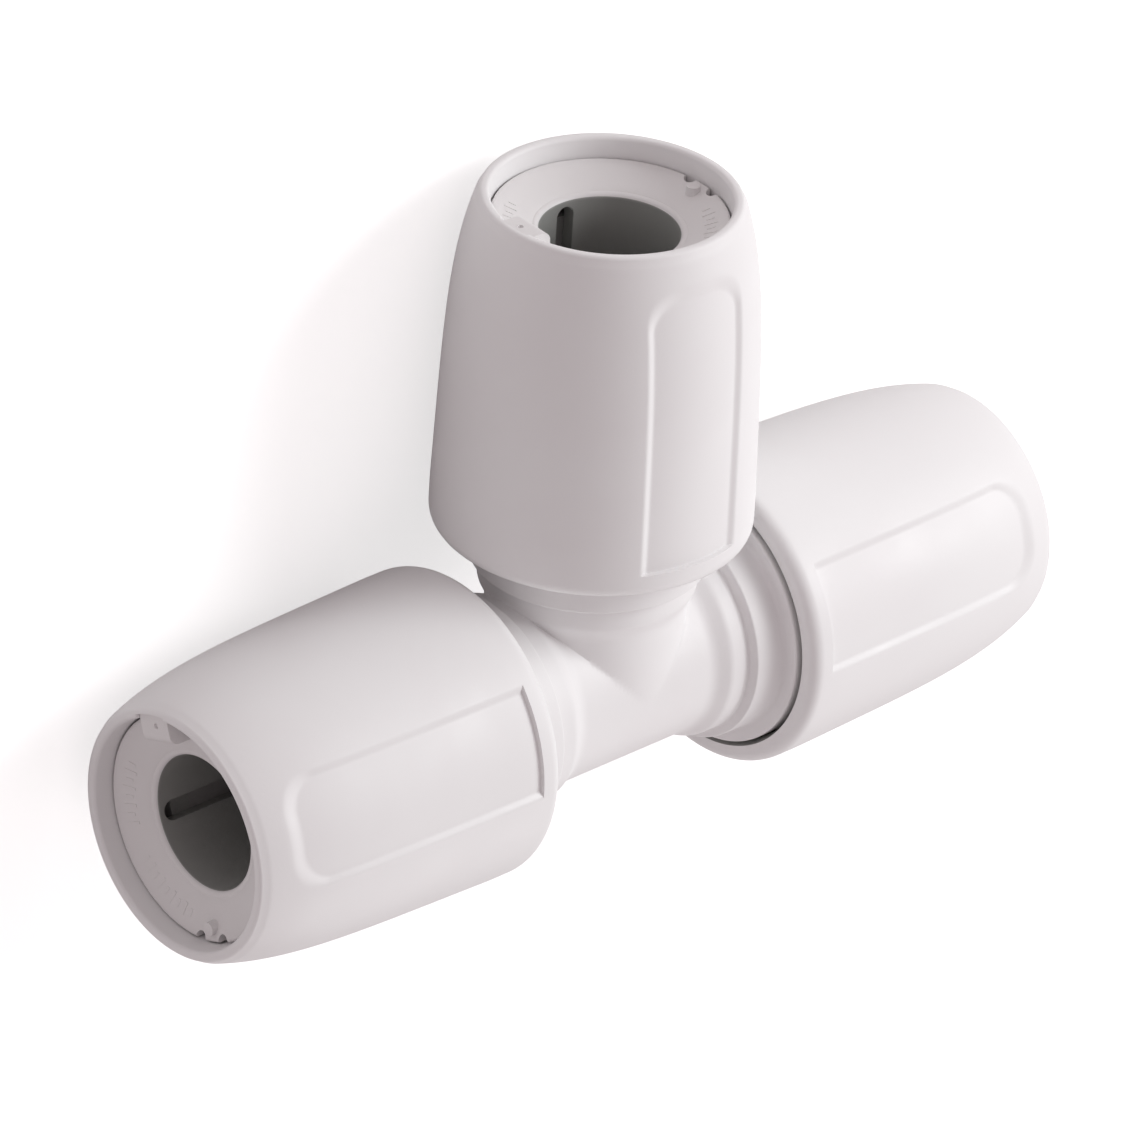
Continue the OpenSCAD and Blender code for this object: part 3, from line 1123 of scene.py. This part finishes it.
@dataclass
class ReleaseCollet(ArmPiece):
    """The collet: a dished end ring with its tab, and a slotted sleeve with a barb."""

    bore_r: float = 7.7
    sleeve_r: float = 9.3
    barb_r: float = 10.4
    ring_r: float = 13.0
    edge_z: float = 56.7
    edge_drop: float = 0.25
    edge_round: float = 0.3
    bore_z: float = 55.1
    barb_top: float = 41.7
    barb_under: float = 39.7
    nose: float = 37.4
    bore_round: float = 0.6
    tab_in: float = 2.8
    tab_drop: float = 0.5
    tab_round: float = 1.1
    bump_radii: Point = (0.95, 0.75)
    bump_rise: float = 0.3
    dimple_at: Point = (0.25, 12.3)
    dimple_radii: Point = (0.3, 0.42)
    dimple_depth: float = 0.25
    pocket_w: float = 2.4
    pocket_floor: float = 0.8
    notch_w: float = 1.6
    notch_pitch: float = 3.8
    slot_w: float = 2.3
    slot_drop: float = 1.0
    tick_rows: tuple[tuple[int, int], ...] = ((38, 4), (146, 8), (206, 9))
    tick_pitch: float = 5.5
    tick_r: float = 10.9
    tick_len: float = 1.5
    tick_short: float = 0.62
    tick_w: float = 0.34
    tick_rise: float = 0.16
    tick_root: float = 0.15
    tick_draft: float = 0.05
    columns: int = 160

    label = "end_ring"

    def _outline(self) -> list[Point]:
        """Returns the closed outline of ring, sleeve and barb."""
        b, under, r = self.sizes.bevel, self.sizes.head_under, self.edge_round
        mouth = (self.bore_r + self.bore_round, self.bore_z - self.bore_round)
        outline = [
            (self.bore_r + b, self.nose), (self.sleeve_r - b, self.nose), (self.sleeve_r, self.nose + b),
            (self.sleeve_r, self.barb_under), (self.barb_r - b, self.barb_under),
            (self.barb_r, self.barb_under + b), (self.barb_r, self.barb_top), (self.sleeve_r, self.barb_top),
        ]
        outline += [*between(outline[-1], (self.sleeve_r, under), 3), (self.ring_r, under)]
        outline += arc((self.ring_r - r, self.edge_z - self.edge_drop), (r, r), 0, 100, 5)
        outline += between(outline[-1], (mouth[0] + 0.22, self.bore_z + 0.08), 0.8)
        outline += arc(mouth, (self.bore_round, self.bore_round), 80, 180, 8)
        outline += between(outline[-1], (self.bore_r, self.nose + b), 3)
        return outline

    def _tab(self) -> bmesh.types.BMesh:
        """Returns the tab, flush with the lip, with a rounded inner end."""
        s, r = self.sizes, self.tab_round
        top, root = s.arm_len - self.tab_drop, s.head_under + 0.2
        inner = self.ring_r - self.tab_in
        bend = arc((inner + r, top - r), (r, r), 180, 90, 6)

        def section(x: float) -> list[Point]:
            """Returns the section at a place across the tab."""
            y = math.sqrt(s.tab_r**2 - x**2)
            return [(inner, root), *bend, (y, top), (y, root)]

        return Loft.ribs(s.tab_w / 2, 16, section)

    def _spring_slots(self) -> bmesh.types.BMesh:
        """Returns the cut through both sides of the sleeve, with round ends under the ring."""
        half, end = self.slot_w / 2, self.nose - self.overshoot
        centre = (0.0, self.bore_z - self.slot_drop - half)
        section = [(half, end), *arc(centre, (half, half), 0, 180, 14), (-half, end)]
        return Loft.ribs(self.barb_r + self.overshoot, 1, lambda x: section)

    def _tick(self, length: float) -> bmesh.types.BMesh:
        """Returns one tick of a length, on the ring's sloping face."""
        slope = (self.edge_z - self.bore_z) / (self.ring_r - self.bore_r - self.bore_round)
        low, high = self.tick_r - length / 2, self.tick_r + length / 2
        near, far = (self.bore_z + slope * (r - self.bore_r - self.bore_round) for r in (low, high))
        corners = [
            (low, near - self.tick_root), (high, far - self.tick_root),
            (high - self.tick_draft, far + self.tick_rise), (low + self.tick_draft, near + self.tick_rise),
        ]
        half = self.tick_w / 2
        return Loft.solid([[Vector((r, w, z)) for r, z in corners] for w in (-half, half)])

    def _ticks(self) -> bmesh.types.BMesh:
        """Returns plain raised ticks on the ring's face, in three short rows."""
        ticks = bmesh.new()
        for start, count in self.tick_rows:
            for i in range(count):
                tick = self._tick(self.tick_len * (1.0 if i % 2 else self.tick_short))
                tick.transform(Matrix.Rotation(math.radians(start + self.tick_pitch * i), 4, "Z"))
                Workshop.gather(ticks, tick)
        return ticks

    def _shape(self) -> bpy.types.Object:
        """Returns the collet, turned, welded and cut."""
        s = self.sizes
        inner, edge, top = self.ring_r - self.tab_in, s.tab_w / 2, s.arm_len - self.tab_drop
        over = self.edge_z + self.overshoot
        blank = Workshop.blank("collet_shape", Lathe.turn(self._outline(), Lathe.even(self.columns)))
        # The bump stands a hair off the middle, so that none of its corners meets a column of the ring
        bump_at = (0.01, self.notch_w - self.ring_r)
        bump = Loft.peg(bump_at, self.bump_radii, s.head_under + 0.4, self.edge_z + self.bump_rise, 22)
        for weld in (self._tab(), bump):
            Workshop.combine(blank, weld, Join.WELD)
        cuts = [
            Loft.block(
                (edge + 0.01, inner, s.head_under + self.pocket_floor),
                (edge + self.pocket_w, inner + self.tab_in + self.overshoot, over),
            )
        ]
        for side in (-1, 1):
            centre = (side * self.notch_pitch / 2, s.bevel - self.ring_r)
            cuts.append(Loft.peg(centre, (self.notch_w / 2, self.notch_w / 2), self.bore_z, over, 24))
        cuts.append(Loft.peg(self.dimple_at, self.dimple_radii, top - self.dimple_depth, s.arm_len, 20))
        cuts.append(self._spring_slots())
        for cut in cuts:
            Workshop.combine(blank, cut, Join.CUT)
        Workshop.combine(blank, self._ticks(), Join.WELD)
        return blank

    def _in_painted_shade(self, middle: Vector) -> bool:
        """Tells whether a face lines the sleeve's bore or its slots, or lies in the gap round the ring, where
        the darker grey paints the shade.
        """
        reach = math.hypot(middle.x, middle.y)
        in_gap = reach > self.ring_r - 0.05 and middle.z < self.edge_z - 0.3
        in_bore = reach < self.bore_r + 0.1 and middle.z < self.bore_z - self.bore_round / 2
        return in_gap or in_bore or (reach < self.sleeve_r - 0.1 and middle.z < self.sizes.head_under)


@dataclass
class InnerRings:
    """The bush, washers, grab ring and seal inside each socket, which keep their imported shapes."""

    # The bush and washers get a darker grey than their pale plastic: it paints the shade seen through the slots
    # and bores
    plastic: MouldedPlastic
    steel: StampedSteel
    rubber: SealRubber

    def dress(self, nodes: dict[str, bpy.types.Object]) -> None:
        """Gives each ring its finish.

        Args:
            nodes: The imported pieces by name.
        """
        materials = {
            "guide_bush": self.plastic.material(), "grab_ring": self.steel.material(),
            "seal_ring": self.rubber.material(),
        }
        materials["spacer_washer"] = materials["backing_washer"] = materials["guide_bush"]
        for mouth in Mouth:
            for kind, material in materials.items():
                node = nodes[f"{mouth.value}_{kind}"]
                for slot in node.material_slots:
                    slot.material = material
                LOG.info("dressed %s", node.name)


@dataclass(frozen=True)
class Softbox:
    """One square lamp that looks at the crossing."""

    name: str
    direction: tuple[float, float, float]
    distance: float
    size: float
    light: float
    color: Rgb = (1.0, 1.0, 1.0)

    def hang(self, target: Vector) -> None:
        """Hangs the lamp.

        Args:
            target: The point that it looks at.
        """
        lamp = bpy.data.lights.new(self.name, "AREA")
        lamp.shape = "SQUARE"
        lamp.size = self.size
        lamp.energy = self.light * math.pi * self.distance**2
        lamp.color = self.color
        holder = bpy.data.objects.new(self.name, lamp)
        away = Vector(self.direction).normalized()
        holder.location = target + away * self.distance
        holder.rotation_euler = away.to_track_quat("Z", "Y").to_euler()
        bpy.context.scene.collection.objects.link(holder)


@dataclass
class Studio:
    """The white table, the lamps and the pale surroundings."""

    target: Vector
    table_half: float = 4.0
    table_color: tuple[float, ...] = (0.8, 0.79, 0.79, 1.0)
    table_roughness: float = 0.9
    table_glow: float = 0.6
    lamps: tuple[Softbox, ...] = (
        Softbox("key_lamp", (0.66, 0.43, 0.66), 0.8, 0.42, 2.0, (0.97, 1.0, 1.0)),
        Softbox("low_lamp", (0.3, -0.85, 0.43), 1.0, 0.7, 0.75),
    )
    ambient: Rgb = (0.46, 0.41, 0.418)

    def build(self) -> None:
        """Builds the table, the lamps and the world."""
        for lamp in self.lamps:
            lamp.hang(self.target)
        self._table()
        self._world()
        bpy.context.scene.view_settings.view_transform = "Standard"

    def _table(self) -> None:
        """Lays the white table under the tee. It glows a little for the camera alone."""
        h = self.table_half
        bm = bmesh.new()
        bm.faces.new([bm.verts.new(p) for p in ((-h, -h, 0), (h, -h, 0), (h, h, 0), (-h, h, 0))])
        table = Workshop.blank("white_table", bm)
        material, bench, shader = NodeBench.for_material("white_table")
        seen = bench.add("ShaderNodeLightPath").outputs["Is Camera Ray"]
        bench.feed(shader, {
            "Base Color": self.table_color, "Roughness": self.table_roughness,
            "Emission Color": (1.0, 1.0, 1.0, 1.0),
            "Emission Strength": bench.math("MULTIPLY", seen, self.table_glow),
        })
        table.data.materials.append(material)

    def _world(self) -> None:
        """Surrounds the tee with pale light that the camera sees as white."""
        world = bpy.data.worlds.new("pale_room")
        world.use_nodes = True
        bpy.context.scene.world = world
        bench = NodeBench(world.node_tree)
        room = world.node_tree.nodes["Background"]
        bench.feed(room, {"Color": (*self.ambient, 1.0)})
        white = bench.add("ShaderNodeBackground")
        path = bench.add("ShaderNodeLightPath").outputs
        seen = bench.math("MAXIMUM", path["Is Camera Ray"], path["Is Transmission Ray"])
        mix = bench.add("ShaderNodeMixShader", {0: seen, 1: room.outputs[0], 2: white.outputs[0]})
        bench.feed(world.node_tree.nodes["World Output"], {"Surface": mix.outputs[0]})


@dataclass(frozen=True)
class PhotoCamera:
    """The camera at the photograph's angle, fitted to the rims, bores and sides of the caps."""

    right: tuple[float, float, float] = (0.7384, 0.0573, 0.6719)
    up: tuple[float, float, float] = (0.3098, 0.8562, -0.4134)
    back: tuple[float, float, float] = (-0.599, 0.5134, 0.6145)
    distance: float = 1.0579
    lens: float = 302.45
    sensor: float = 36.0
    image: float = 1136.0
    crossing_px: Point = (580.7, 664.8)

    def place(self, crossing: Vector) -> None:
        """Places the camera so that the crossing falls on its pixel.

        Args:
            crossing: The crossing of the arms' axes.
        """
        right, up, back = Vector(self.right), Vector(self.up), Vector(self.back)
        metres = self.distance * self.sensor / (self.lens * self.image)
        off_x, off_y = (p - self.image / 2 for p in self.crossing_px)
        stand = crossing + back * self.distance
        aim = crossing - right * off_x * metres + up * off_y * metres
        axis = (stand - aim).normalized()
        side = up.cross(axis).normalized()
        top = axis.cross(side)
        turn = Matrix((side, top, axis)).transposed().to_4x4()
        view = bpy.data.cameras.new("photo_camera")
        view.lens = self.lens
        view.sensor_width = self.sensor
        holder = bpy.data.objects.new("photo_camera", view)
        holder.matrix_world = Matrix.Translation(stand) @ turn
        bpy.context.scene.collection.objects.link(holder)
        bpy.context.scene.camera = holder


class EqualTee:
    """The whole tee: its arms, and the pieces that stand on them."""

    run_turn = math.radians(20)
    branch_turn = math.radians(4)

    def __init__(self, sizes: TeeSizes) -> None:
        """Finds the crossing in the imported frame, and lays out the three arms.

        Args:
            sizes: The shared sizes.
        """
        self.sizes = sizes
        low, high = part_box("left_cap")
        middle = (low + high) / 2
        self.crossing = Vector((low.x + sizes.arm_len * MM, middle.y, middle.z))
        lean = Vector((0, math.sin(self.run_turn), math.cos(self.run_turn)))
        fall = Vector((math.sin(self.branch_turn), 0, -math.cos(self.branch_turn)))
        self.arms = [
            Arm(Mouth.LEFT, self.crossing, Vector((-1, 0, 0)), lean),
            Arm(Mouth.RIGHT, self.crossing, Vector((1, 0, 0)), -lean),
            Arm(Mouth.BRANCH, self.crossing, Vector((0, 1, 0)), fall),
        ]

    def dress(self, nodes: dict[str, bpy.types.Object]) -> None:
        """Builds each piece and sets it on its body.

        Args:
            nodes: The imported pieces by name.
        """
        # The darker grey on the faces inside the bores, hollows and gaps is painted shade: the plastic there is
        # as white as outside, and the grey stands in for the shade that falls in them.
        painted_shade = MouldedPlastic("painted_shade_grey", (0.33, 0.335, 0.322), (0.3, 0.304, 0.292), 0.34, 0.44)
        satin = MouldedPlastic("body_plastic_satin", (0.86, 0.852, 0.855), (0.835, 0.82, 0.825))
        ring = MouldedPlastic("collet_plastic_satin", (0.8, 0.787, 0.787), (0.775, 0.757, 0.757), 0.4, 0.5)
        self._set(Body(self.sizes, satin, painted_shade).build(self.arms), "root", "body", "body_plastic")
        cap = Cap(self.sizes, MouldedPlastic("cap_plastic_satin"), painted_shade)
        collet = ReleaseCollet(self.sizes, ring, painted_shade)
        for arm in self.arms:
            name = arm.mouth.value
            self._set(cap.build(arm), "root", f"{name}_cap", "cap_plastic")
            self._set(collet.build(arm), arm.mouth.collet_body(), f"{name}_release_collet", "collet_plastic")
        for pattern in (cap.pattern, collet.pattern):
            bpy.data.meshes.remove(pattern)
        # The bush and washers are painted a darker grey than their pale plastic, so that the slots and bores
        # that show them read as shaded.
        rings = InnerRings(
            MouldedPlastic("bush_painted_shade_grey", (0.34, 0.335, 0.33), (0.31, 0.305, 0.3), 0.45, 0.55),
            StampedSteel("grab_steel_stamped"), SealRubber("seal_rubber_black"),
        )
        rings.dress(nodes)

    @staticmethod
    def _set(piece: bpy.types.Object, body: str, node: str, slot: str) -> None:
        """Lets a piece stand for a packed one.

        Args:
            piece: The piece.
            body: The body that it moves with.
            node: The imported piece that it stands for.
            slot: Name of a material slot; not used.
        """
        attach(piece, body)
        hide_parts(node)
        LOG.info("built %s for %s, %d faces", piece.name, node, len(piece.data.polygons))


def main() -> None:
    logging.basicConfig(level=logging.INFO, format="%(message)s")
    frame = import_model()
    tee = EqualTee(TeeSizes())
    tee.dress(frame["nodes"])
    Studio(tee.crossing).build()
    PhotoCamera().place(tee.crossing)


if __name__ == "__main__":
    main()
